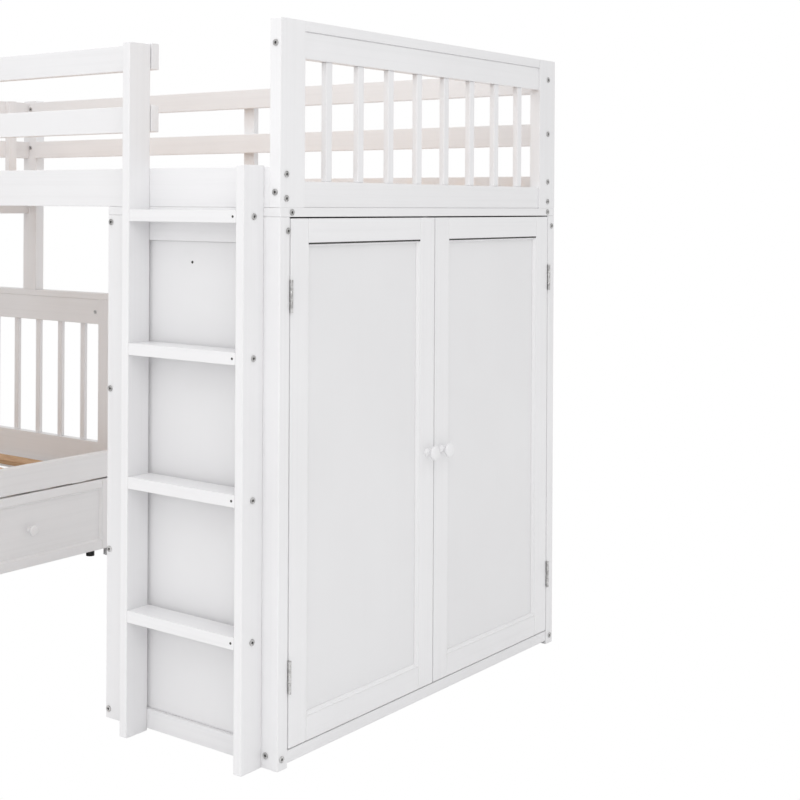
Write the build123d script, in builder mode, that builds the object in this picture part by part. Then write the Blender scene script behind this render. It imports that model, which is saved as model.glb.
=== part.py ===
"""L-shaped bunk bed: a raised bed on a wardrobe, a ladder, and a lower bed with drawers across its end.

+X is the wardrobe's door side, +Y the back, +Z up. The origin is on the floor under the middle
of the whole bed. All sizes are in millimetres.
"""
from build123d import *

import os

os.makedirs("parts", exist_ok=True)

# Driving dimensions: timber
frame_t = 27.0  # posts, side frames and rails
rail_t = 25.0
side_t = 30.0  # the wardrobe's side frames
guard_t = 22.0
board_t = 18.0  # the top board and shelves
joint_gap = 0.2  # hairline between boards glued into one frame
post_w = 75.0  # wide face of an end panel's post
left_post_w = 62.0
left_post_d = 35.0
baluster_w = 20.0
baluster_t = 13.0
baluster_pitch = 107.0
bolt_r = 6.5
bolt_t = 2.0

# Driving dimensions: raised bed
bed_width = 1070.0
upper_length = 1994.0
carcass_top = 1070.0  # underside of the wardrobe's top board
deck_z = carcass_top + board_t
rail_h = 80.0
post_top = 1456.0
left_post_top = 1435.0
guard_h = 55.0
guard_levels = (1244.0, 1374.0)  # lower edges of the two guard boards
end_cap_t = 21.0
end_rail_h = 54.0
end_bottom_h = 52.0
end_baluster_count = 8
rail_inset = 20.0  # the back rail to the posts' outer faces
left_rail_drop = 28.0  # how far the left end rail hangs below the side rails
stile_w = 38.0
stile_from_doors = 1003.0

# Driving dimensions: ladder
leg_t = 20.0
leg_d = 60.0
ladder_right = 41.0  # from the door face to the right leg
ladder_left = 354.0  # from the door face to the left leg's right side
left_leg_top = 1426.0
right_leg_top = 1170.0
rung_t = 24.0
first_rung = 250.0
rung_pitch = 273.5
rung_count = 4

# Driving dimensions: wardrobe
wardrobe_d = 478.0
side_front_stile = 45.0
side_rear_stile = 45.0
side_top_rail = 51.0
side_bottom_rail = 45.0  # height of the bottom rail's top edge
side_rail_clear = 5.0  # floor to the bottom rail
side_panel_t = 8.0
rear_t = 12.0
kick_low = 8.0
kick_top = 33.0
door_low = 36.0
door_high = 1067.0
door_t = 20.0
door_gap = 3.0
door_stile = 55.0
door_top_rail = 48.0
door_bottom_rail = 48.0
door_panel_t = 8.0
knob_z = 550.0
knob_out = 28.0
hinge_levels = (176.0, 916.0)
hinge_h = 64.0
rod_r = 12.5
rod_z = 820.0
hat_shelf_z = 870.0
shelf_levels = (290.0, 550.0, 810.0)

# Driving dimensions: lower bed
lower_setback = 1500.0  # from the door face to the drawer faces
lower_inside = 1016.0
lower_reach = 924.0  # from the ladder side of the raised bed to the foot of the lower bed
lower_rail_low = 248.0
lower_rail_top = 325.0
headboard_top = 807.0
headboard_cap_t = 20.0
headboard_top_rail = 79.0
headboard_inset = 8.0  # the cap's edge to the frame's outer face
headboard_pitch = 109.0
lower_post_w = 99.0
headboard_bottom_low = 200.0
headboard_bottom_top = 331.0
headboard_baluster_count = 7
footboard_top = 430.0
side_leg_w = 75.0
head_leg_w = 65.0
lower_slat_z = 235.0
slat_w = 70.0
slat_t = 15.0
ledger_t = 22.0
ledger_h = 25.0
upper_ledger_h = 25.0
upper_slat_count = 13
lower_slat_count = 12
drawer_count = 3
drawer_w = 618.0
drawer_gap = 4.0
drawer_low = 27.0
drawer_high = 243.0
drawer_front_t = 20.0
drawer_frame_w = 26.0
drawer_box_d = 560.0
drawer_box_low = 40.0
drawer_box_high = 205.0
drawer_side_t = 12.0
drawer_bottom_t = 6.0
glide_r = 13.0

# Places worked out from them
lower_width = lower_inside + 2 * frame_t
front = (lower_setback + lower_width - knob_out) / 2
near = (lower_reach - bed_width) / 2
back = near + bed_width
middle = (near + back) / 2
left = front - upper_length
foot = near - lower_reach
rear = front - wardrobe_d
lower_right = front - lower_setback
lower_left = lower_right - lower_width
rail_span = (deck_z, deck_z + rail_h)
inner_right = front - frame_t
door_low_y = near + side_t + door_gap
door_high_y = back - side_t - door_gap
rungs = [first_rung + i * rung_pitch for i in range(rung_count)]
side_posts = ((near, near + post_w), (back - post_w, back))
lower_inner = (lower_left + frame_t, lower_right - frame_t)
head_y = (back - left_post_d, back - headboard_inset)
drawer_end = head_y[0] - head_leg_w
rail_back = (back - rail_inset - rail_t, back - rail_inset)  # the back rail's two faces


def save(name, part):
    """Labels one finished piece and writes its STEP file."""
    part.label = name
    export_step(part, f"parts/{name}.step")


def board(x, y, z):
    """Adds one board to the part being built; x, y and z are (low, high)."""
    with Locations((sum(x) / 2, sum(y) / 2, sum(z) / 2)):
        Box(x[1] - x[0], y[1] - y[0], z[1] - z[0])


def spread(low, high, count, width):
    """Low edges of count boards of one width spread evenly, with the ends flush."""
    step = (high - low - width) / (count - 1)
    return [low + i * step for i in range(count)]


def centred(count, pitch):
    """Offsets of count things at one pitch about a middle."""
    return [(i - (count - 1) / 2) * pitch for i in range(count)]


# Raised bed: right end panel over the wardrobe doors

cap_low = post_top - end_cap_t
between = (near + post_w + joint_gap, back - post_w - joint_gap)
panel_x = (inner_right, front)

with BuildPart() as right_end_posts:
    for y in side_posts:
        board(panel_x, y, (deck_z, post_top))
save("right_end_posts", right_end_posts.part)

with BuildPart() as right_end_cap:
    board(panel_x, between, (cap_low, post_top))
save("right_end_cap", right_end_cap.part)

with BuildPart() as right_end_rails:
    recessed = (inner_right + 2, front - 3)
    board(recessed, between, (cap_low - end_rail_h, cap_low))
    board(recessed, between, (deck_z, deck_z + end_bottom_h))
save("right_end_rails", right_end_rails.part)

with BuildPart() as right_end_balusters:
    x_mid = front - frame_t / 2
    for offset in centred(end_baluster_count, baluster_pitch):
        y_low = middle + offset - baluster_w / 2
        board(
            (x_mid - baluster_t / 2, x_mid + baluster_t / 2),
            (y_low, y_low + baluster_w),
            (deck_z + end_bottom_h, cap_low - end_rail_h),
        )
save("right_end_balusters", right_end_balusters.part)

# Raised bed: side rails, posts, guards and slats

post_inner = left + left_post_w

with BuildPart() as upper_front_rail:
    board((post_inner, inner_right), (near, near + rail_t), rail_span)
save("upper_front_rail", upper_front_rail.part)

with BuildPart() as upper_back_rail:
    board((post_inner, inner_right), rail_back, rail_span)
save("upper_back_rail", upper_back_rail.part)

left_inside_y = (near + left_post_d, back - left_post_d)

with BuildPart() as upper_left_end_rail:
    board((left, left + frame_t), left_inside_y, (deck_z - left_rail_drop, rail_span[1]))
save("upper_left_end_rail", upper_left_end_rail.part)

with BuildPart() as left_posts:
    left_post_x = (left, post_inner)
    board(left_post_x, (near, near + left_post_d), (deck_z - left_rail_drop, left_post_top))
    board(left_post_x, (back - left_post_d, back), (headboard_top, left_post_top))
save("left_posts", left_posts.part)

with BuildPart() as support_post:
    post_y = (near, near + 60.0)
    board((lower_right - frame_t, lower_right), post_y, (lower_rail_top, deck_z))
save("support_post", support_post.part)

leg_left_side = front - ladder_left - leg_t
guard_end = front - ladder_left
front_guard_y = (near + rail_t - guard_t, near + rail_t)
back_guard_y = (rail_back[1] - guard_t, rail_back[1])
left_guard_x = (left + frame_t - guard_t, left + frame_t)

with BuildPart() as front_guard_boards:
    for level in guard_levels:
        board((post_inner, guard_end), front_guard_y, (level, level + guard_h))
save("front_guard_boards", front_guard_boards.part)

with BuildPart() as back_guard_boards:
    for level in guard_levels:
        board((post_inner, inner_right), back_guard_y, (level, level + guard_h))
save("back_guard_boards", back_guard_boards.part)

with BuildPart() as left_guard_boards:
    for level in guard_levels:
        board(left_guard_x, left_inside_y, (level, level + guard_h))
save("left_guard_boards", left_guard_boards.part)

upper_slat_z = deck_z + 12.0 + upper_ledger_h
stile_t = 20.0
stile_z = (upper_slat_z + slat_t + 2, guard_levels[-1] + guard_h)

with BuildPart() as guard_stiles:
    back_mid = front - stile_from_doors
    front_mid = back_mid
    half = stile_w / 2
    board((back_mid - half, back_mid + half), (rail_back[1], back), (deck_z, stile_z[1]))
    front_stile_y = (front_guard_y[1], front_guard_y[1] + stile_t)
    board((front_mid - half, front_mid + half), front_stile_y, stile_z)
    for y_mid in (left_inside_y[0] + 85, left_inside_y[1] - 85):
        board((left + frame_t, left + frame_t + stile_t), (y_mid - 15, y_mid + 15), stile_z)
save("guard_stiles", guard_stiles.part)

lower_ledger_z = (lower_slat_z - ledger_h, lower_slat_z)
upper_ledger_z = (upper_slat_z - upper_ledger_h, upper_slat_z)

with BuildPart() as slat_ledgers:
    upper_x = (post_inner, inner_right)
    board(upper_x, (near + rail_t, near + rail_t + ledger_t), upper_ledger_z)
    board(upper_x, (rail_back[0] - ledger_t, rail_back[0]), upper_ledger_z)
    lower_y = (foot + frame_t, head_y[0])
    board((lower_inner[0], lower_inner[0] + ledger_t), lower_y, lower_ledger_z)
    board((lower_inner[1] - ledger_t, lower_inner[1]), lower_y, lower_ledger_z)
save("slat_ledgers", slat_ledgers.part)

with BuildPart() as upper_slats:
    slat_y = (near + rail_t + 1, rail_back[0] - 1)
    for x_low in spread(left + frame_t + 50, inner_right - 30, upper_slat_count, slat_w):
        board((x_low, x_low + slat_w), slat_y, (upper_slat_z, upper_slat_z + slat_t))
save("upper_slats", upper_slats.part)

# Ladder

with BuildPart() as ladder_left_leg:
    leg_y = (near - leg_d, near)
    board((leg_left_side, leg_left_side + leg_t), leg_y, (0, left_leg_top))
save("ladder_left_leg", ladder_left_leg.part)

with BuildPart() as ladder_right_leg:
    board((front - ladder_right - leg_t, front - ladder_right), leg_y, (0, right_leg_top))
save("ladder_right_leg", ladder_right_leg.part)

with BuildPart() as ladder_rungs:
    for rung_z in rungs:
        board(
            (leg_left_side + leg_t, front - ladder_right - leg_t),
            leg_y,
            (rung_z - rung_t / 2, rung_z + rung_t / 2),
        )
save("ladder_rungs", ladder_rungs.part)

# Wardrobe carcass

with BuildPart() as wardrobe_top_board:
    board((rear, front), (near, back), (carcass_top, deck_z))
save("wardrobe_top_board", wardrobe_top_board.part)

panel_recess = 8.0
rail_x = (rear + side_rear_stile + joint_gap, front - side_front_stile - joint_gap)
for name, y_outer, inward in (("wardrobe_near_side", near, 1), ("wardrobe_far_side", back, -1)):
    frame_y = sorted((y_outer, y_outer + inward * side_t))
    panel_out = y_outer + inward * panel_recess
    panel_y = sorted((panel_out, panel_out + inward * side_panel_t))
    top_rail_low = carcass_top - side_top_rail
    with BuildPart() as side_frame:
        board((rear, rear + side_rear_stile), frame_y, (0, carcass_top))
        board((front - side_front_stile, front), frame_y, (0, carcass_top))
        board(rail_x, frame_y, (top_rail_low, carcass_top))
        board(rail_x, frame_y, (side_rail_clear, side_bottom_rail))
    save(f"{name}_frame", side_frame.part)
    with BuildPart() as side_panel:
        board(rail_x, panel_y, (side_bottom_rail, top_rail_low))
    save(f"{name}_panel", side_panel.part)

inside = (near + side_t, back - side_t)

with BuildPart() as wardrobe_back_panel:
    board((rear, rear + rear_t), inside, (kick_low, carcass_top))
save("wardrobe_back_panel", wardrobe_back_panel.part)

with BuildPart() as wardrobe_kick_board:
    board((front - door_t - 2, front - 2), inside, (kick_low, kick_top))
save("wardrobe_kick_board", wardrobe_kick_board.part)

with BuildPart() as wardrobe_floor_board:
    board((rear + rear_t, front - door_t - 2), inside, (kick_top - board_t, kick_top))
save("wardrobe_floor_board", wardrobe_floor_board.part)

shelf_x = (rear + rear_t, front - door_t - 6)
divider_y = (middle - board_t / 2, middle + board_t / 2)

with BuildPart() as wardrobe_divider:
    board(shelf_x, divider_y, (kick_top, carcass_top))
save("wardrobe_divider", wardrobe_divider.part)

with BuildPart() as wardrobe_shelves:
    board(shelf_x, (inside[0], divider_y[0]), (hat_shelf_z, hat_shelf_z + board_t))
    for level in shelf_levels:
        board(shelf_x, (divider_y[1], inside[1]), (level, level + board_t))
save("wardrobe_shelves", wardrobe_shelves.part)

socket_t = 8.0
rod_x = (rear + front - door_t) / 2
rod_plane = Plane(origin=(rod_x, 0, rod_z), x_dir=(1, 0, 0), z_dir=(0, 1, 0))

with BuildPart() as hanging_rod:
    with BuildSketch(rod_plane.offset(inside[0] + socket_t)):
        Circle(rod_r)
    extrude(amount=divider_y[0] - inside[0] - 2 * socket_t)
save("hanging_rod", hanging_rod.part)

with BuildPart() as rod_sockets:
    for y_start in (inside[0], divider_y[0] - socket_t):
        with BuildSketch(rod_plane.offset(y_start)):
            Circle(rod_r + 7)
        extrude(amount=socket_t)
save("rod_sockets", rod_sockets.part)

# Doors, hinges and knobs

leaf_t = 1.2
leaf_d = 18.0
barrel_r = 3.2
pin_r = 1.3
barrel_x = front + barrel_r + 0.4
knuckle_h = hinge_h / 3
knuckle_play = 0.4


def knob(x_face, y, z):
    """Adds a turned knob whose foot stands on the face at x_face and points to +X."""
    side = Plane(origin=(x_face, y, z), x_dir=(1, 0, 0), z_dir=(0, -1, 0))
    tip = knob_out
    with BuildSketch(side) as profile:
        with BuildLine():
            Polyline((0, 0), (0, 9), (2, 9))
            Spline((2, 9), (9, 6), (16, 11), tangents=((1, -0.6), (1, 1.6)))
            Spline((16, 11), (20, 15), (tip, 0), tangents=((1, 1.6), (0, -1)))
            Line((tip, 0), (0, 0))
        make_face()
    revolve(profile.sketch, axis=Axis((x_face, y, z), (1, 0, 0)))


def barrel(y, z_low, height, radius, mode=Mode.ADD):
    """Adds or cuts a cylinder on a hinge's vertical axis."""
    with Locations((barrel_x, y, z_low + height / 2)):
        Cylinder(radius, height, mode=mode)


def leaf(y, z, turned):
    """Adds one hinge leaf in the gap beside the door and the strips that join it to its knuckles."""
    board((front - leaf_d, front - 0.3), y, (z - hinge_h / 2, z + hinge_h / 2))
    for low, high in turned:
        board((front - 0.3, barrel_x), y, (low, high))


def knuckles(z, fixed):
    """The heights of the outer two knuckles, which are fixed, or of the middle one."""
    low = z - hinge_h / 2
    if fixed:
        return [(low, low + knuckle_h), (low + 2 * knuckle_h, low + hinge_h)]
    return [(low + knuckle_h + knuckle_play, low + 2 * knuckle_h - knuckle_play)]


hinge_sides = ((inside[0], 1), (inside[1], -1))

with BuildPart() as fixed_hinge_leaves:
    for y_edge, inward in hinge_sides:
        axis_y = y_edge + inward * door_gap / 2
        leaf_y = sorted((y_edge, y_edge + inward * leaf_t))
        for hinge_z in hinge_levels:
            for low, high in knuckles(hinge_z, True):
                barrel(axis_y, low, high - low, barrel_r)
            leaf(leaf_y, hinge_z, knuckles(hinge_z, True))
            barrel(axis_y, hinge_z - hinge_h / 2, hinge_h, pin_r)
save("fixed_hinge_leaves", fixed_hinge_leaves.part)

door_halves = (
    ("near_door", (door_low_y, middle - door_gap / 2), hinge_sides[0]),
    ("far_door", (middle + door_gap / 2, door_high_y), hinge_sides[1]),
)
door_face = (front - door_t, front)
for name, y, (y_edge, inward) in door_halves:
    stile_inner = (y[0] + door_stile, y[1] - door_stile)
    rail_inner = (door_low + door_bottom_rail, door_high - door_top_rail)
    with BuildPart() as door_frame:
        board(door_face, (y[0], stile_inner[0]), (door_low, door_high))
        board(door_face, (stile_inner[1], y[1]), (door_low, door_high))
        door_rail_y = (stile_inner[0] + joint_gap, stile_inner[1] - joint_gap)
        board(door_face, door_rail_y, (rail_inner[1], door_high))
        board(door_face, door_rail_y, (door_low, rail_inner[0]))
    save(f"{name}_frame", door_frame.part)
    with BuildPart() as door_panel:
        recessed = (front - panel_recess - door_panel_t, front - panel_recess)
        board(recessed, stile_inner, rail_inner)
    save(f"{name}_panel", door_panel.part)
    with BuildPart() as door_knob:
        free_edge = y[1] if inward > 0 else y[0]
        knob(front, free_edge - inward * door_stile / 2, knob_z)
    save(f"{name}_knob", door_knob.part)
    with BuildPart() as door_hinge_leaves:
        axis_y = y_edge + inward * door_gap / 2
        leaf_far = y_edge + inward * door_gap
        leaf_y = sorted((leaf_far, leaf_far - inward * leaf_t))
        for hinge_z in hinge_levels:
            for low, high in knuckles(hinge_z, False):
                barrel(axis_y, low, high - low, barrel_r)
            leaf(leaf_y, hinge_z, knuckles(hinge_z, False))
            barrel(axis_y, hinge_z - hinge_h / 2, hinge_h, pin_r + 0.08, Mode.SUBTRACT)
    save(f"{name}_hinge_leaves", door_hinge_leaves.part)

# Lower bed

foot_y = (foot, foot + frame_t)
post_lows = (lower_inner[0], lower_inner[1] - lower_post_w)

with BuildPart() as lower_posts:
    for y, top in ((foot_y, footboard_top), (head_y, headboard_top)):
        for x_low in post_lows:
            board((x_low, x_low + lower_post_w), y, (0, top - headboard_cap_t))
save("lower_posts", lower_posts.part)

panel_inner = (lower_inner[0] + lower_post_w, lower_inner[1] - lower_post_w)
head_cap_low = headboard_top - headboard_cap_t

with BuildPart() as headboard_rails:
    board(lower_inner, (head_y[0], back), (head_cap_low, headboard_top))
    top_rail_z = (head_cap_low - headboard_top_rail, head_cap_low - joint_gap)
    board(panel_inner, head_y, top_rail_z)
    board(panel_inner, head_y, (headboard_bottom_low, headboard_bottom_top))
save("headboard_rails", headboard_rails.part)

with BuildPart() as headboard_balusters:
    y_mid = sum(head_y) / 2
    half = baluster_w / 2
    for offset in centred(headboard_baluster_count, headboard_pitch):
        x_mid = sum(panel_inner) / 2 + offset
        board(
            (x_mid - half, x_mid + half),
            (y_mid - baluster_t / 2, y_mid + baluster_t / 2),
            (headboard_bottom_top, top_rail_z[0]),
        )
save("headboard_balusters", headboard_balusters.part)

with BuildPart() as footboard_rails:
    foot_cap_low = footboard_top - headboard_cap_t
    board(lower_inner, (foot, foot + left_post_d), (foot_cap_low, footboard_top))
    board(panel_inner, foot_y, (headboard_bottom_low, foot_cap_low - joint_gap))
save("footboard_rails", footboard_rails.part)

with BuildPart() as lower_side_rails:
    left_rail_z = (lower_ledger_z[0], lower_rail_top)  # deep enough to hide its ledger
    board((lower_left, lower_left + frame_t), (foot, head_y[1]), left_rail_z)
    right_rail_z = (lower_rail_low, lower_rail_top)
    board((lower_right - frame_t, lower_right), (foot, head_y[1]), right_rail_z)
save("lower_side_rails", lower_side_rails.part)

with BuildPart() as lower_side_legs:
    right_leg_z = (0, lower_rail_low)
    board((lower_right - frame_t, lower_right), (drawer_end, head_y[0]), right_leg_z)
    left_leg_z = (0, left_rail_z[0])
    for y_low in (foot, head_y[1] - side_leg_w):
        board((lower_left, lower_left + frame_t), (y_low, y_low + side_leg_w), left_leg_z)
save("lower_side_legs", lower_side_legs.part)

with BuildPart() as lower_slats:
    slat_x = (lower_inner[0] + 1, lower_inner[1] - 1)
    for y_low in spread(foot + frame_t + 30, head_y[0] - 30, lower_slat_count, slat_w):
        board(slat_x, (y_low, y_low + slat_w), (lower_slat_z, lower_slat_z + slat_t))
save("lower_slats", lower_slats.part)

# Drawers

front_x = (lower_right - drawer_front_t, lower_right)
box_x = (front_x[0] - drawer_box_d, front_x[0])
for number in range(drawer_count):
    y_low = drawer_end - (number + 1) * (drawer_w + drawer_gap)
    y = (y_low, y_low + drawer_w)
    inner = (y[0] + drawer_frame_w, y[1] - drawer_frame_w)
    z_inner = (drawer_low + drawer_frame_w, drawer_high - drawer_frame_w)
    name = f"drawer_{number + 1}"
    with BuildPart() as drawer_front:
        board(front_x, (y[0], inner[0]), (drawer_low, drawer_high))
        board(front_x, (inner[1], y[1]), (drawer_low, drawer_high))
        between = (inner[0] + joint_gap, inner[1] - joint_gap)
        panel_z = (z_inner[0] + joint_gap, z_inner[1] - joint_gap)
        board(front_x, between, (z_inner[1], drawer_high))
        board(front_x, between, (drawer_low, z_inner[0]))
        board((front_x[0], front_x[1] - panel_recess), between, panel_z)
    save(f"{name}_front", drawer_front.part)
    with BuildPart() as drawer_box:
        box_y = (y[0] + 10, y[1] - 10)
        box_z = (drawer_box_low, drawer_box_high)
        in_y = (box_y[0] + drawer_side_t, box_y[1] - drawer_side_t)
        board(box_x, (box_y[0], in_y[0]), box_z)
        board(box_x, (in_y[1], box_y[1]), box_z)
        between = (in_y[0] + joint_gap, in_y[1] - joint_gap)
        floor_x = (box_x[0] + drawer_side_t + joint_gap, box_x[1])
        floor_z = (drawer_box_low, drawer_box_low + drawer_bottom_t)
        board((box_x[0], box_x[0] + drawer_side_t), between, box_z)
        board(floor_x, between, floor_z)
    save(f"{name}_box", drawer_box.part)
    with BuildPart() as drawer_knob:
        knob(front_x[1] - panel_recess, sum(y) / 2, (drawer_low + drawer_high) / 2)
    save(f"{name}_knob", drawer_knob.part)
    with BuildPart() as drawer_glides:
        corners = [
            (x_at, y_at)
            for x_at in (box_x[0] + 30, box_x[1] - 30)
            for y_at in (box_y[0] + 20, box_y[1] - 20)
        ]
        with BuildSketch():
            with Locations(*corners):
                Circle(glide_r)
        extrude(amount=drawer_box_low)
    save(f"{name}_glides", drawer_glides.part)

# Bolt heads, in groups by the face that they sit on

rear_edge = rear + 9
near_face_bolts = [(front - 13, 1407), (front - 13, 1118), (front - 30, 26)]
near_face_bolts += [(rear_edge, z) for z in (20, 360, 701, 1055)]
near_end_bolts = [(18, 1153), (18, 1106), (35, 1079), (24, 1043), (12, 22)]
far_end_bolts = [(35, z) for z in (1408, 1273, 1154, 1105, 1079)] + [(15, 1044), (15, 20)]
end_face_bolts = [(near + y, z) for y, z in near_end_bolts]
end_face_bolts += [(back - y, z) for y, z in far_end_bolts]
leg_bolts = [(near - leg_d / 2, z) for z in rungs]
left_post_bolt = left + 34.5
head_face_bolts = [(left_post_bolt, 1408), (left_post_bolt, 1279)]
head_face_bolts += [(x, 747) for x in (panel_inner[0] + 14, panel_inner[1] - 14)]


def bolt_heads(plane, places):
    """Adds flat bolt heads with hex sockets that stand on the plane."""
    with BuildSketch(plane) as heads:
        with Locations(*places):
            Circle(bolt_r)
        with Locations(*places):
            RegularPolygon(bolt_r * 0.45, 6, mode=Mode.SUBTRACT)
    extrude(heads.sketch, amount=bolt_t)


facing_near = dict(x_dir=(1, 0, 0), z_dir=(0, -1, 0))
facing_right = dict(x_dir=(0, 1, 0), z_dir=(1, 0, 0))

with BuildPart() as bolt_head_set:
    bolt_heads(Plane(origin=(0, near, 0), **facing_near), near_face_bolts)
    bolt_heads(Plane(origin=(0, head_y[0], 0), **facing_near), head_face_bolts)
    bolt_heads(Plane(origin=(front, 0, 0), **facing_right), end_face_bolts)
    bolt_heads(Plane(origin=(front - ladder_right, 0, 0), **facing_right), leg_bolts)
save("bolt_heads", bolt_head_set.part)
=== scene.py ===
"""Looks for the bunk bed: painted timber, bare pine slats, nickel fittings and the small trim on them."""

import math

import bpy
from mathutils import Matrix, Vector


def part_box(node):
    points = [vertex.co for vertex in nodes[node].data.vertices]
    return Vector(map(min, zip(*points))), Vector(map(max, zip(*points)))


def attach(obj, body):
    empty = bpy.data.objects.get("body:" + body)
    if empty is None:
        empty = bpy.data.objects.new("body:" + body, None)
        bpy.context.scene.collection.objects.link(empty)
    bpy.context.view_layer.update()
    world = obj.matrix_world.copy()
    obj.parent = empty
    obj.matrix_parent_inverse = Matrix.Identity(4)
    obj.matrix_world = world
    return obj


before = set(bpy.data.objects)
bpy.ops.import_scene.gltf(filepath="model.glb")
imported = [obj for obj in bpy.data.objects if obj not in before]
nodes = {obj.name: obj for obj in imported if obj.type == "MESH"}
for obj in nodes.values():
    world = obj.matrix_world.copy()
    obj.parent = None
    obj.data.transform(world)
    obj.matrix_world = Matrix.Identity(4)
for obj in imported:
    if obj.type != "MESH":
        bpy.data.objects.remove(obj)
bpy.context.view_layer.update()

MM = 0.001

CURVED = ("knob", "glides", "rod", "bolt", "hinge")
BARE = ("upper_slats", "lower_slats", "slat_ledgers")
WELD = 0.01 * MM
BOARD_ROUND = 1.6 * MM
FITTING_ROUND = 0.25 * MM
ROUND_SEGMENTS = 2
SHARP_ANGLE = math.radians(40)
SPLIT_ANGLE = math.radians(35)
WEAR_RADIUS = 2.2 * MM


# Shader helpers


def new_material(name):
    """A material with its node tree, its shader and object coordinates in metres."""
    mat = bpy.data.materials.new(name)
    mat.use_nodes = True
    tree = mat.node_tree
    shader = tree.nodes["Principled BSDF"]
    coords = tree.nodes.new("ShaderNodeTexCoord").outputs["Object"]
    return mat, tree, shader, coords


def noise(tree, vector, scale, detail=4.0, rough=0.55, distortion=0.0, stretch=(1, 1, 1)):
    """A noise value over coordinates stretched by the given factors."""
    mapping = tree.nodes.new("ShaderNodeMapping")
    mapping.inputs["Scale"].default_value = stretch
    tree.links.new(vector, mapping.inputs["Vector"])
    tex = tree.nodes.new("ShaderNodeTexNoise")
    tex.inputs["Scale"].default_value = scale
    tex.inputs["Detail"].default_value = detail
    tex.inputs["Roughness"].default_value = rough
    tex.inputs["Distortion"].default_value = distortion
    tree.links.new(mapping.outputs["Vector"], tex.inputs["Vector"])
    return tex.outputs["Fac"]


def ramp(tree, value, stops):
    """A colour ramp; stops are (place, colour)."""
    node = tree.nodes.new("ShaderNodeValToRGB")
    elements = node.color_ramp.elements
    while len(elements) < len(stops):
        elements.new(0.5)
    for element, (place, colour) in zip(elements, stops):
        element.position = place
        element.color = (*colour, 1.0)
    tree.links.new(value, node.inputs["Fac"])
    return node.outputs["Color"]


def remap(tree, value, low, high, out_low, out_high):
    """Maps a value's range on to another, clamped."""
    node = tree.nodes.new("ShaderNodeMapRange")
    node.inputs["From Min"].default_value = low
    node.inputs["From Max"].default_value = high
    node.inputs["To Min"].default_value = out_low
    node.inputs["To Max"].default_value = out_high
    tree.links.new(value, node.inputs["Value"])
    return node.outputs["Result"]


def blend_colour(tree, factor, first, second, mode="MIX"):
    """Mixes two colours; each is a socket or a colour, and factor is a socket or a number."""
    node = tree.nodes.new("ShaderNodeMix")
    node.data_type = "RGBA"
    node.blend_type = mode
    for index, value in ((0, factor), (6, first), (7, second)):
        socket = node.inputs[index]
        if hasattr(value, "is_output"):
            tree.links.new(value, socket)
        elif index == 0:
            socket.default_value = value
        else:
            socket.default_value = (*value, 1.0)
    return node.outputs[2]


def math_node(tree, operation, first, second):
    """One arithmetic step on a socket and a socket or number."""
    node = tree.nodes.new("ShaderNodeMath")
    node.operation = operation
    tree.links.new(first, node.inputs[0])
    if hasattr(second, "is_output"):
        tree.links.new(second, node.inputs[1])
    else:
        node.inputs[1].default_value = second
    return node.outputs["Value"]


def bump(tree, shader, heights):
    """Chains bumps on to the shader; heights are (value, distance in metres, strength)."""
    last = None
    for value, distance, strength in heights:
        node = tree.nodes.new("ShaderNodeBump")
        node.inputs["Distance"].default_value = distance
        node.inputs["Strength"].default_value = strength
        tree.links.new(value, node.inputs["Height"])
        if last is not None:
            tree.links.new(last, node.inputs["Normal"])
        last = node.outputs["Normal"]
    tree.links.new(last, shader.inputs["Normal"])


def edge_wear(tree, vector, radius):
    """Near 1 along rounded edges, broken up by noise, and 0 on flat faces."""
    soft = tree.nodes.new("ShaderNodeBevel")
    soft.samples = 4
    soft.inputs["Radius"].default_value = radius
    flat = tree.nodes.new("ShaderNodeNewGeometry")
    dot = tree.nodes.new("ShaderNodeVectorMath")
    dot.operation = "DOT_PRODUCT"
    tree.links.new(soft.outputs["Normal"], dot.inputs[0])
    tree.links.new(flat.outputs["True Normal"], dot.inputs[1])
    edge = remap(tree, dot.outputs["Value"], 0.995, 0.90, 0.0, 1.0)
    broken = remap(tree, noise(tree, vector, 38.0, 5.0), 0.42, 0.62, 0.25, 1.0)
    return math_node(tree, "MULTIPLY", edge, broken)


def board_tone(tree, low, high):
    """A value that differs from board to board."""
    geometry = tree.nodes.new("ShaderNodeNewGeometry")
    return remap(tree, geometry.outputs["Random Per Island"], 0.0, 1.0, low, high)


def along(axis, slow, fast):
    """Stretch factors that draw a noise out along one axis."""
    return tuple(slow if i == axis else fast for i in range(3))


# Materials

WHITE = (1.0, 1.0, 1.0)
PAINT_DULL = (0.805, 0.800, 0.810)
PAINT_BRIGHT = (0.835, 0.832, 0.842)
PAINT_GRAIN = (0.955, 0.955, 0.955)
PAINT_WORN = (0.76, 0.735, 0.70)
PINE_EARLY = (0.66, 0.43, 0.25)
PINE_MIDDLE = (0.60, 0.37, 0.20)
PINE_LATE = (0.44, 0.24, 0.115)
PINE_NEXT = (0.62, 0.40, 0.23)
PINE_STREAK = (0.80, 0.76, 0.72)
PINE_KNOT = (0.20, 0.095, 0.045)
PINE_SHIFT = (3.1, 2.3, 1.7)  # moves the figure from board to board
NICKEL_DULL = (0.40, 0.395, 0.39)
NICKEL_BRIGHT = (0.66, 0.655, 0.65)
PLASTIC_CLEAN = (0.022, 0.022, 0.023)
PLASTIC_SCUFFED = (0.060, 0.058, 0.056)
# Painted shade: near-black with lighter spots, for socket floors, the strips under the doors' top rails
# and a small hole; also the rung screws' colour
SHADE_NEAR_BLACK = (0.018, 0.017, 0.016)
SHADE_SPOTS_LIGHTER = (0.07, 0.066, 0.06)
FLOOR_DULL = (0.93, 0.93, 0.93)
FLOOR_BRIGHT = (0.95, 0.95, 0.95)


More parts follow.
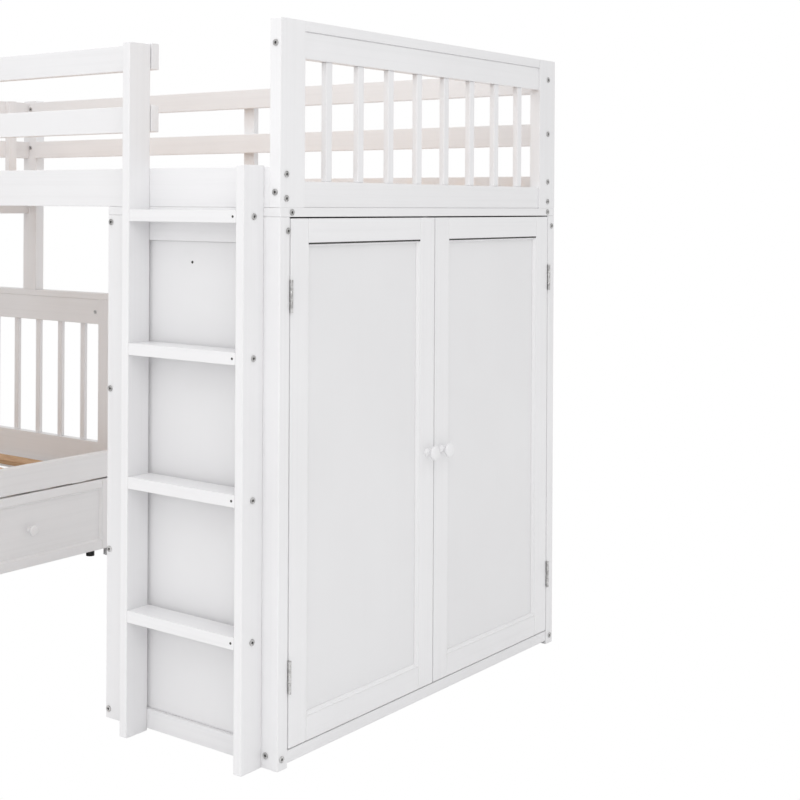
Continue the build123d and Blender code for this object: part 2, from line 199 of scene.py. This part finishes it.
def white_paint(axis, name, grain_depth, painted_recess_shade):
    """Satin white lacquer; its last argument darkens it, which on the recessed panels is painted shade of
    the recess; what grain shows through it runs along one axis.
    """
    mat, tree, shader, coords = new_material(name + "_" + "xyz"[axis])
    grain = noise(tree, coords, 26.0, 6.0, 0.62, 0.4, along(axis, 0.06, 4.0))
    pores = noise(tree, coords, 90.0, 3.0, 0.5, 0.0, along(axis, 0.08, 3.0))
    cloud = noise(tree, coords, 2.3, 3.0)
    spray = noise(tree, coords, 900.0, 2.0)
    warm = ramp(tree, cloud, [(0.30, PAINT_DULL), (0.70, PAINT_BRIGHT)])
    lines = ramp(tree, grain, [(0.30, PAINT_GRAIN), (0.52, WHITE)])
    grained = blend_colour(tree, 0.6 * grain_depth, warm, lines, "MULTIPLY")
    # Random board-to-board tone, times the last argument, which on the recessed panels is painted shade
    tone = board_tone(tree, 0.975 * painted_recess_shade, painted_recess_shade)
    toned = tree.nodes.new("ShaderNodeVectorMath")
    toned.operation = "SCALE"
    tree.links.new(grained, toned.inputs[0])
    tree.links.new(tone, toned.inputs["Scale"])
    worn = edge_wear(tree, coords, WEAR_RADIUS)
    rubbed = math_node(tree, "MULTIPLY", worn, 0.28)
    colour = blend_colour(tree, rubbed, toned.outputs["Vector"], PAINT_WORN)
    tree.links.new(colour, shader.inputs["Base Color"])
    sheen = remap(tree, noise(tree, coords, 7.0, 4.0), 0.3, 0.7, 0.30, 0.44)
    tree.links.new(math_node(tree, "ADD", sheen, rubbed), shader.inputs["Roughness"])
    shader.inputs["Coat Weight"].default_value = 0.12
    shader.inputs["Coat Roughness"].default_value = 0.25
    heights = [
        (grain, 0.25 * MM * grain_depth, 0.30),
        (pores, 0.12 * MM * grain_depth, 0.25),
        (spray, 0.03 * MM, 0.25),
    ]
    bump(tree, shader, heights)
    return mat


def bare_pine(axis):
    """Planed, unpainted pine with growth rings, streaks and a few knots."""
    mat, tree, shader, coords = new_material("bare_pine_" + "xyz"[axis])
    geometry = tree.nodes.new("ShaderNodeNewGeometry")
    shifted = tree.nodes.new("ShaderNodeVectorMath")
    shifted.operation = "MULTIPLY_ADD"
    shifted.inputs[1].default_value = PINE_SHIFT
    tree.links.new(geometry.outputs["Random Per Island"], shifted.inputs[0])
    tree.links.new(coords, shifted.inputs[2])
    place = shifted.outputs["Vector"]
    rings = noise(tree, place, 13.0, 3.0, 0.45, 1.4, along(axis, 0.10, 1.6))
    waves = math_node(tree, "FRACT", math_node(tree, "MULTIPLY", rings, 9.0), 0.0)
    fibre = noise(tree, place, 150.0, 4.0, 0.6, 0.0, along(axis, 0.03, 2.0))
    late = ramp(
        tree,
        waves,
        [
            (0.0, PINE_EARLY),
            (0.62, PINE_MIDDLE),
            (0.88, PINE_LATE),
            (1.0, PINE_NEXT),
        ],
    )
    streaks = ramp(tree, fibre, [(0.32, PINE_STREAK), (0.60, WHITE)])
    grained = blend_colour(tree, 0.8, late, streaks, "MULTIPLY")
    knots = tree.nodes.new("ShaderNodeTexVoronoi")
    knots.inputs["Scale"].default_value = 5.5
    squeezed = tree.nodes.new("ShaderNodeMapping")
    squeezed.inputs["Scale"].default_value = along(axis, 0.65, 1.3)
    tree.links.new(place, squeezed.inputs["Vector"])
    tree.links.new(squeezed.outputs["Vector"], knots.inputs["Vector"])
    knot = remap(tree, knots.outputs["Distance"], 0.05, 0.11, 0.85, 0.0)
    dark = blend_colour(tree, knot, grained, PINE_KNOT)
    tone = board_tone(tree, 0.84, 1.08)
    toned = tree.nodes.new("ShaderNodeVectorMath")
    toned.operation = "SCALE"
    tree.links.new(dark, toned.inputs[0])
    tree.links.new(tone, toned.inputs["Scale"])
    tree.links.new(toned.outputs["Vector"], shader.inputs["Base Color"])
    tree.links.new(remap(tree, fibre, 0.3, 0.7, 0.52, 0.70), shader.inputs["Roughness"])
    bump(tree, shader, [(waves, 0.10 * MM, 0.25), (fibre, 0.20 * MM, 0.40)])
    return mat


def nickel():
    """Nickel plate with fine turning marks and dull patches."""
    mat, tree, shader, coords = new_material("nickel_plate")
    patches = noise(tree, coords, 140.0, 4.0)
    marks = noise(tree, coords, 700.0, 3.0, 0.6, 0.0, (1, 1, 0.08))
    colour = ramp(tree, patches, [(0.35, NICKEL_DULL), (0.62, NICKEL_BRIGHT)])
    tree.links.new(colour, shader.inputs["Base Color"])
    tree.links.new(remap(tree, patches, 0.3, 0.7, 0.42, 0.24), shader.inputs["Roughness"])
    shader.inputs["Metallic"].default_value = 1.0
    bump(tree, shader, [(marks, 0.03 * MM, 0.35)])
    return mat


def black_plastic():
    """Moulded plastic with a fine spark texture and scuffs."""
    mat, tree, shader, coords = new_material("black_plastic")
    grain = noise(tree, coords, 1500.0, 2.0)
    scuff = noise(tree, coords, 60.0, 5.0)
    colour = ramp(tree, scuff, [(0.40, PLASTIC_CLEAN), (0.70, PLASTIC_SCUFFED)])
    tree.links.new(colour, shader.inputs["Base Color"])
    tree.links.new(remap(tree, scuff, 0.3, 0.7, 0.42, 0.62), shader.inputs["Roughness"])
    bump(tree, shader, [(grain, 0.05 * MM, 0.5)])
    return mat


def socket_shadow():
    """Near-black with faint lighter spots: painted shade for the hex sockets' floors, the strips under
    the doors' top rails and the small hole in the wardrobe's side panel; also the near-black rung screws.
    """
    mat, tree, shader, coords = new_material("socket_floor")
    spots = noise(tree, coords, 900.0, 3.0)
    colour = ramp(tree, spots, [(0.4, SHADE_NEAR_BLACK), (0.7, SHADE_SPOTS_LIGHTER)])
    tree.links.new(colour, shader.inputs["Base Color"])
    shader.inputs["Roughness"].default_value = 0.55
    return mat


def pale_floor():
    """A plain matt studio floor that the camera sees as pure white, like a cut-out."""
    mat, tree, shader, coords = new_material("studio_floor")
    cloud = noise(tree, coords, 1.1, 2.0)
    colour = ramp(tree, cloud, [(0.3, FLOOR_DULL), (0.7, FLOOR_BRIGHT)])
    tree.links.new(colour, shader.inputs["Base Color"])
    shader.inputs["Roughness"].default_value = 0.9
    shader.inputs["Specular IOR Level"].default_value = 0.1
    white = tree.nodes.new("ShaderNodeEmission")
    white.inputs["Color"].default_value = (*WHITE, 1.0)
    seen = tree.nodes.new("ShaderNodeLightPath")
    mix = tree.nodes.new("ShaderNodeMixShader")
    tree.links.new(seen.outputs["Is Camera Ray"], mix.inputs["Fac"])
    tree.links.new(shader.outputs["BSDF"], mix.inputs[1])
    tree.links.new(white.outputs["Emission"], mix.inputs[2])
    out = next(n for n in tree.nodes if n.type == "OUTPUT_MATERIAL")
    tree.links.new(mix.outputs["Shader"], out.inputs["Surface"])
    return mat


PANEL_GRAIN = 0.15
# The recessed panels' paint is 4% darker than the frames': painted shade of the recess
PANEL_PAINTED_SHADE = 0.96

PAINT = [white_paint(axis, "white_paint", 1.0, 1.0) for axis in range(3)]
PANEL = [white_paint(axis, "white_panel", PANEL_GRAIN, PANEL_PAINTED_SHADE) for axis in range(3)]
PINE = [bare_pine(axis) for axis in range(3)]
NICKEL = nickel()
PLASTIC = black_plastic()
BLACK_AND_PAINTED_SHADE = socket_shadow()


# The boards of a node, so that the grain follows each one


def boards(obj):
    """Splits a CAD node into its solids: a list of (lowest corner, highest corner, face indices)."""
    keys = [tuple(round(c / WELD) for c in v.co) for v in obj.data.vertices]
    owner = {key: key for key in keys}

    def root(key):
        while owner[key] != key:
            owner[key] = owner[owner[key]]
            key = owner[key]
        return key

    for face in obj.data.polygons:
        first = root(keys[face.vertices[0]])
        for vertex in face.vertices[1:]:
            owner[root(keys[vertex])] = first
    groups = {}
    for face in obj.data.polygons:
        groups.setdefault(root(keys[face.vertices[0]]), []).append(face.index)
    found = []
    for faces in groups.values():
        corners = [obj.data.vertices[v].co for f in faces for v in obj.data.polygons[f].vertices]
        low = Vector([min(c[i] for c in corners) for i in range(3)])
        high = Vector([max(c[i] for c in corners) for i in range(3)])
        found.append((low, high, faces))
    return sorted(found, key=lambda item: tuple(item[0]) + tuple(item[1]))


def lay_grain(obj, materials):
    """Gives each board of a node the material whose grain runs along that board."""
    obj.data.materials.clear()
    for mat in materials:
        obj.data.materials.append(mat)
    for low, high, faces in boards(obj):
        size = high - low
        axis = max(range(3), key=lambda i: size[i])
        for index in faces:
            obj.data.polygons[index].material_index = axis


def finish_edges(obj, width, curved):
    """Welds a node's faces, then rounds its edges, or keeps its curves smooth."""
    normals = obj.data.attributes.get("custom_normal")
    if normals:
        obj.data.attributes.remove(normals)
    weld = obj.modifiers.new("weld", "WELD")
    weld.merge_threshold = WELD
    if curved:
        for face in obj.data.polygons:
            face.use_smooth = True
    soften = obj.modifiers.new("round", "BEVEL")
    soften.width = width
    soften.segments = ROUND_SEGMENTS
    soften.limit_method = "ANGLE"
    soften.angle_limit = SHARP_ANGLE
    if curved:
        split = obj.modifiers.new("split", "EDGE_SPLIT")
        split.split_angle = SPLIT_ANGLE


for name, obj in nodes.items():
    curved = any(word in name for word in CURVED)
    if name.endswith("glides"):
        obj.data.materials.clear()
        obj.data.materials.append(PLASTIC)
    elif "knob" in name:
        obj.data.materials.clear()
        obj.data.materials.append(PAINT[0])
    elif curved:
        obj.data.materials.clear()
        obj.data.materials.append(NICKEL)
    else:
        # Panels take the smoother paint, 4% darker as painted shade of their recess
        smooth = name.endswith("_panel")
        lay_grain(obj, PINE if name in BARE else PANEL if smooth else PAINT)
    finish_edges(obj, FITTING_ROUND if curved else BOARD_ROUND, curved)


# Trim that the CAD model leaves out


def mesh_piece(name, verts, faces, material, body):
    """Makes a piece from vertices in metres and sets what it rides on."""
    mesh = bpy.data.meshes.new(name)
    mesh.from_pydata(verts, [], faces)
    mesh.validate()
    mesh.materials.append(material)
    obj = bpy.data.objects.new(name, mesh)
    bpy.context.scene.collection.objects.link(obj)
    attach(obj, body)
    return obj


STILE_SHARE = 0.9  # a stile is at least this share of the frame's height
RAIL_SHARE = 0.6  # a rail is at least this share of its width


def opening(name):
    """The hole in a framed face: (y low, y high, z low, z high, face x)."""
    low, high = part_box(name)
    parts = [(a, b) for a, b, _ in boards(nodes[name])]
    stiles = [p for p in parts if p[1].z - p[0].z > STILE_SHARE * (high.z - low.z)]
    rails = [p for p in parts if p[1].y - p[0].y > RAIL_SHARE * (high.y - low.y)]
    rails = [p for p in rails if p[1].x > high.x - MM]
    y_low = min(p[1].y for p in stiles)
    y_high = max(p[0].y for p in stiles)
    z_low = min(p[1].z for p in rails)
    z_high = max(p[0].z for p in rails)
    return y_low, y_high, z_low, z_high, high.x


# The moulding's profile: (inwards from the frame, depth below its face) in mm
BEAD = [
    (0.0, 7.9),
    (0.0, 1.2),
    (0.8, 0.7),
    (2.0, 0.9),
    (3.0, 1.9),
    (3.6, 3.3),
    (4.8, 4.4),
    (6.4, 5.2),
    (7.2, 6.4),
    (7.4, 7.9),
]


def add_bead(name, body):
    """A moulding mitred round the inside of a framed face."""
    y_low, y_high, z_low, z_high, face_x = opening(name)
    verts = []
    for inwards, depth in BEAD:
        u = inwards * MM
        x = face_x - depth * MM
        verts += [
            (x, y_low + u, z_low + u),
            (x, y_high - u, z_low + u),
            (x, y_high - u, z_high - u),
            (x, y_low + u, z_high - u),
        ]
    faces = []
    count = len(BEAD)
    for i in range(count):
        ring = 4 * i
        after = 4 * ((i + 1) % count)
        for corner in range(4):
            turn = (corner + 1) % 4
            faces.append((ring + corner, ring + turn, after + turn, after + corner))
    return mesh_piece(body + "_bead", verts, faces, PAINT[2], body)


SHADOW_STRIP_DROP = 0.3 * MM
SHADOW_STRIP_HEIGHT = 3.2 * MM
SHADOW_STRIP_DEPTH = 1.6 * MM
SHADOW_STRIP_THICK = 1.0 * MM


def top_painted_shadow(name, body):
    """A thin near-black strip over the bead between a door's top rail and its panel: painted shadow under
    the rail.
    """
    y_low, y_high, _, z_high, face_x = opening(name)
    top = z_high - SHADOW_STRIP_DROP
    low = top - SHADOW_STRIP_HEIGHT
    back = face_x - SHADOW_STRIP_DEPTH
    front = back + SHADOW_STRIP_THICK
    ends = (y_low + MM, y_high - MM)
    verts = [(x, y, z) for x in (back, front) for y in ends for z in (low, top)]
    faces = [(0, 1, 3, 2), (4, 6, 7, 5), (0, 4, 5, 1), (2, 3, 7, 6), (0, 2, 6, 4), (1, 5, 7, 3)]
    return mesh_piece(body + "_top_painted_shadow", verts, faces, BLACK_AND_PAINTED_SHADE, body)


for door in ("near_door", "far_door"):
    add_bead(door + "_frame", door)
    # A painted shadow strip under each door's top rail
    top_painted_shadow(door + "_frame", door)
for number in (1, 2, 3):
    add_bead(f"drawer_{number}_front", f"drawer_{number}")


SOCKET_RADIUS = 3.2 * MM
SOCKET_THICK = 0.4 * MM
SOCKET_SIDES = 12
HEAD_SIDES = 14
HEAD_THICK = 0.25 * MM
CROWN_THICK = 0.18 * MM
CROWN_SHARE = 0.72  # the crown's radius over the head's
SLAT_SCREW_EDGE = 12 * MM
SLAT_SCREW_RADIUS = 4 * MM
RUNG_SCREW_EDGE = 8 * MM
RUNG_SCREW_RADIUS = 2.6 * MM
PANEL_SCREW_DROP = 43 * MM
PANEL_SCREW_RADIUS = 3.0 * MM


def disc(centre, axis, radius, thick, sides, verts, faces):
    """Adds a closed disc that stands on centre and faces along axis."""
    turn = Vector((0, 0, 1)).rotation_difference(Vector(axis)).to_matrix()
    start = len(verts)
    for level in (0.0, thick):
        for i in range(sides):
            angle = 2 * math.pi * i / sides
            spot = Vector((radius * math.cos(angle), radius * math.sin(angle), level))
            verts.append(tuple(Vector(centre) + turn @ spot))
    faces.append(tuple(start + i for i in reversed(range(sides))))
    faces.append(tuple(start + sides + i for i in range(sides)))
    for i in range(sides):
        after = (i + 1) % sides
        faces.append((start + i, start + after, start + sides + after, start + sides + i))


def socket_floors():
    """Near-black discs at the bottom of the bolts' hex sockets: painted shade inside the sockets."""
    verts = []
    faces = []
    for low, high, _ in boards(nodes["bolt_heads"]):
        centre = (low + high) / 2
        if high.x - low.x < high.y - low.y:
            spot = (low.x, centre.y, centre.z)
            axis = (1, 0, 0)
        else:
            spot = (centre.x, high.y, centre.z)
            axis = (0, -1, 0)
        disc(spot, axis, SOCKET_RADIUS, SOCKET_THICK, SOCKET_SIDES, verts, faces)
    return mesh_piece("bolt_socket_floors", verts, faces, BLACK_AND_PAINTED_SHADE, "frame")


def screw_head(centre, axis, radius, verts, faces):
    """A countersunk screw head with a stepped crown."""
    disc(centre, axis, radius, HEAD_THICK, HEAD_SIDES, verts, faces)
    crown = Vector(centre) + Vector(axis) * HEAD_THICK
    disc(crown, axis, CROWN_SHARE * radius, CROWN_THICK, HEAD_SIDES, verts, faces)


def slat_screws():
    """Two screws hold each slat to its ledgers."""
    verts = []
    faces = []
    edge = SLAT_SCREW_EDGE
    up = (0, 0, 1)
    for low, high, _ in boards(nodes["upper_slats"]):
        for y in (low.y + edge, high.y - edge):
            screw_head(((low.x + high.x) / 2, y, high.z), up, SLAT_SCREW_RADIUS, verts, faces)
    for low, high, _ in boards(nodes["lower_slats"]):
        for x in (low.x + edge, high.x - edge):
            screw_head((x, (low.y + high.y) / 2, high.z), up, SLAT_SCREW_RADIUS, verts, faces)
    return mesh_piece("slat_screws", verts, faces, NICKEL, "frame")


def rung_screws():
    """A small near-black screw at the right end of each rung's front, and one in the wardrobe's side
    panel that is painted shade of a small hole there.
    """
    verts = []
    faces = []
    for low, high, _ in boards(nodes["ladder_rungs"]):
        spot = (high.x - RUNG_SCREW_EDGE, low.y, (low.z + high.z) / 2)
        screw_head(spot, (0, -1, 0), RUNG_SCREW_RADIUS, verts, faces)
    # A near-black disc in the side panel: painted shade of a small hole
    low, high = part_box("wardrobe_near_side_panel")
    spot = ((low.x + high.x) / 2, low.y, high.z - PANEL_SCREW_DROP)
    screw_head(spot, (0, -1, 0), PANEL_SCREW_RADIUS, verts, faces)
    return mesh_piece("rung_screws", verts, faces, BLACK_AND_PAINTED_SHADE, "frame")


socket_floors()
slat_screws()
rung_screws()


# Studio

FLOOR_SIZE = 60.0
SENSOR = 36.0
LENS = 64.35
SHIFT = (0.094, -0.244)
CAMERA_PLACE = (3.042, -2.182, 1.094)
CAMERA_FORWARD = (-0.6189, 0.7854, 0.0)
CAMERA_ROLL = math.radians(0.3)
FAR_CLIP = 200.0
OVERHEAD_SPREAD = math.radians(120)
OVERHEAD_TILT = (math.radians(12), math.radians(8), 0)
SURROUNDINGS = 0.66
OVERHEAD = 1.0

# Name, place, target, size in metres and power in watts
SOFT_LIGHTS = [
    ("key", (2.5, -1.6, 2.4), (1.2, 0.1, 1.0), 1.5, 12.0),
    ("ladder_fill", (1.2, -3.5, 1.8), (1.1, 0.0, 0.8), 1.0, 8.0),
    ("bed_fill", (0.3, 0.0, 2.9), (0.3, 1.0, 1.2), 1.5, 10.0),
]


def studio_floor():
    """A wide pale floor under the object."""
    bpy.ops.mesh.primitive_plane_add(size=FLOOR_SIZE, location=(0, 0, 0))
    floor = bpy.context.object
    floor.name = "studio_floor"
    floor.data.materials.append(pale_floor())


def soft_light(name, place, target, size, power):
    """A large square area light aimed at a point."""
    light = bpy.data.lights.new(name, "AREA")
    light.size = size
    light.energy = power
    obj = bpy.data.objects.new(name, light)
    obj.location = place
    aim = Vector(target) - Vector(place)
    obj.rotation_euler = aim.to_track_quat("-Z", "Y").to_euler()
    bpy.context.scene.collection.objects.link(obj)


def white_surroundings(strength):
    """An even white studio all round, with a pure white backdrop."""
    world = bpy.data.worlds.new("studio")
    world.use_nodes = True
    tree = world.node_tree
    light = tree.nodes["Background"]
    light.inputs["Strength"].default_value = strength
    light.inputs["Color"].default_value = (*WHITE, 1.0)
    backdrop = tree.nodes.new("ShaderNodeBackground")
    backdrop.inputs["Color"].default_value = (*WHITE, 1.0)
    seen = tree.nodes.new("ShaderNodeLightPath")
    mix = tree.nodes.new("ShaderNodeMixShader")
    tree.links.new(seen.outputs["Is Camera Ray"], mix.inputs["Fac"])
    tree.links.new(light.outputs["Background"], mix.inputs[1])
    tree.links.new(backdrop.outputs["Background"], mix.inputs[2])
    tree.links.new(mix.outputs["Shader"], tree.nodes["World Output"].inputs["Surface"])
    bpy.context.scene.world = world


def overhead_light(strength):
    """A wide soft light from above."""
    light = bpy.data.lights.new("overhead", "SUN")
    light.angle = OVERHEAD_SPREAD
    light.energy = strength
    obj = bpy.data.objects.new("overhead", light)
    obj.rotation_euler = OVERHEAD_TILT
    bpy.context.scene.collection.objects.link(obj)


def photo_camera():
    """The camera off the wardrobe's near door corner, level and about as high as the doors' tops."""
    camera = bpy.data.cameras.new("camera")
    camera.sensor_width = SENSOR
    camera.lens = LENS
    camera.shift_x, camera.shift_y = SHIFT
    camera.clip_end = FAR_CLIP
    obj = bpy.data.objects.new("camera", camera)
    forward = Vector(CAMERA_FORWARD)
    roll = Matrix.Rotation(CAMERA_ROLL, 4, "Z")
    obj.matrix_world = (
        Matrix.Translation(CAMERA_PLACE)
        @ forward.to_track_quat("-Z", "Y").to_matrix().to_4x4()
        @ roll
    )
    bpy.context.scene.collection.objects.link(obj)
    bpy.context.scene.camera = obj


studio_floor()
white_surroundings(SURROUNDINGS)
overhead_light(OVERHEAD)
for row in SOFT_LIGHTS:
    soft_light(*row)
photo_camera()
bpy.context.scene.view_settings.view_transform = "Standard"
